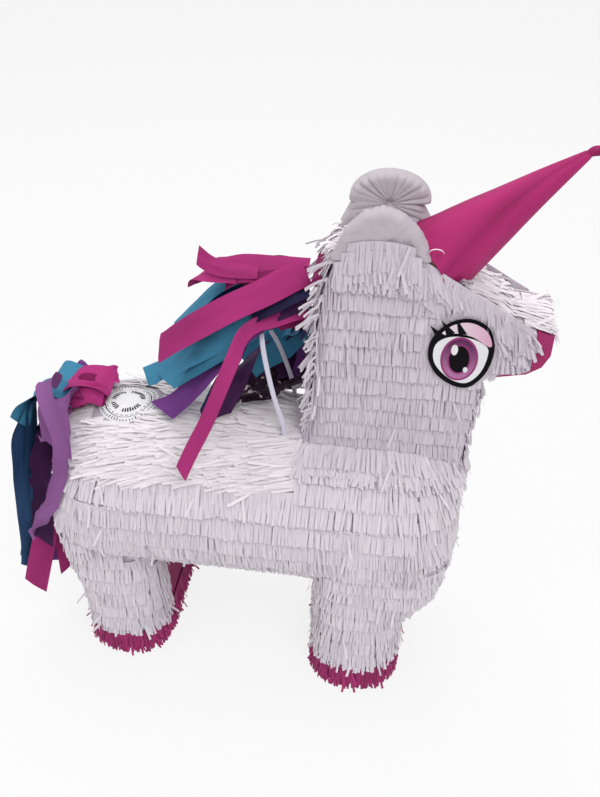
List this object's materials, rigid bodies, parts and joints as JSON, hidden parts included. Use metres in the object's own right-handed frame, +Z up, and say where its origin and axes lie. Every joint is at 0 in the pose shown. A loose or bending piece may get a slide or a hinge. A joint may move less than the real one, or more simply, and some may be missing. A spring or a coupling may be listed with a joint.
{
  "type": "pinata",
  "caption": "Hollow card party pinata in the shape of a unicorn, with fringed tissue skins, a cone horn, a crepe mane and tail, a hanging loop and a filling flap in its back.",
  "frame": {"origin": "on the ground under the middle of the whole", "axes": "+X towards the head, +Y to its left flank, +Z up"},
  "size_m": [0.5039, 0.184, 0.5449],
  "materials": {
    "card": "plain brown card",
    "tissue_white": "fringed white tissue",
    "tissue_magenta": "fringed magenta tissue",
    "crepe_magenta": "crinkled crepe",
    "crepe_teal": "crinkled crepe",
    "crepe_purple": "crinkled crepe",
    "foil": "metallised film",
    "printed_paper": "printed satin paper",
    "loop_strap": "thin woven strap"
  },
  "bodies": {
    "pinata": {"barrel_shell": "card", "rump_cap": "card", "chest_cap": "card", "front_leg_sleeve": "card", "front_hoof_sole": "tissue_magenta", "front_leg_fringe": "tissue_white", "front_hoof_fringe": "tissue_magenta", "rear_leg_sleeve": "card", "rear_hoof_sole": "tissue_magenta", "rear_leg_fringe": "tissue_white", "rear_hoof_fringe": "tissue_magenta", "belly_lining": "tissue_magenta", "flank_fringe_right": "tissue_white", "flank_fringe_left": "tissue_white", "rump_fringe": "tissue_white", "chest_fringe": "tissue_white", "back_fringe": "tissue_white", "head_panel_right": "card", "head_panel_left": "card", "nape_board": "card", "poll_board": "card", "bridge_board": "card", "muzzle_board": "card", "jaw_board": "card", "throat_board": "card", "horn_cone": "card", "horn_wrap": "crepe_magenta", "ear_wrap_right": "tissue_white", "ear_wrap_left": "tissue_white", "muzzle_cover": "tissue_magenta", "neck_fringe_right": "tissue_white", "neck_fringe_left": "tissue_white", "nape_fringe": "tissue_white", "bridge_fringe": "tissue_white", "throat_fringe": "tissue_white", "eye_decal_right": "printed_paper", "eye_decal_left": "printed_paper", "sticker_ring": "printed_paper", "loop_patch": "card", "hang_loop": "loop_strap", "mane_streamer_teal_mid": "crepe_teal", "mane_streamer_teal_low": "crepe_teal", "mane_streamer_purple_flat": "crepe_purple", "mane_streamer_purple_deep": "crepe_purple", "mane_foil": "foil"},
    "flap": {"fill_flap": "card", "sticker_disc": "printed_paper"},
    "mane": {"mane_tie": "crepe_magenta", "mane_streamer_pink_broad": "crepe_magenta", "mane_streamer_pink_curl": "crepe_magenta", "mane_streamer_teal_high": "crepe_teal", "mane_streamer_pink_long": "crepe_magenta"},
    "tail": {"tail_tie": "crepe_magenta", "tail_streamer_teal_loop": "crepe_teal", "tail_streamer_purple_near": "crepe_purple", "tail_streamer_pink_near": "crepe_magenta", "tail_streamer_purple_mid": "crepe_purple", "tail_streamer_pink_flat": "crepe_magenta", "tail_streamer_teal_far": "crepe_teal", "tail_streamer_purple_far": "crepe_purple"}
  },
  "joints": [
    {"name": "flap_hinge", "type": "hinge", "parent": "pinata", "child": "flap", "pos_m": [-0.121, 0.0182, 0.2782], "axis": [-1, 0, 0], "range_deg": [0, 105]},
    {"name": "tail_swing", "type": "hinge", "parent": "pinata", "child": "tail", "pos_m": [-0.163, 0, 0.286], "axis": [0, 1, 0], "range_deg": [0, 55]},
    {"name": "mane_lift", "type": "hinge", "parent": "pinata", "child": "mane", "pos_m": [0.0575, 0, 0.43294], "axis": [0, 1, 0], "range_deg": [0, 25]}
  ]
}
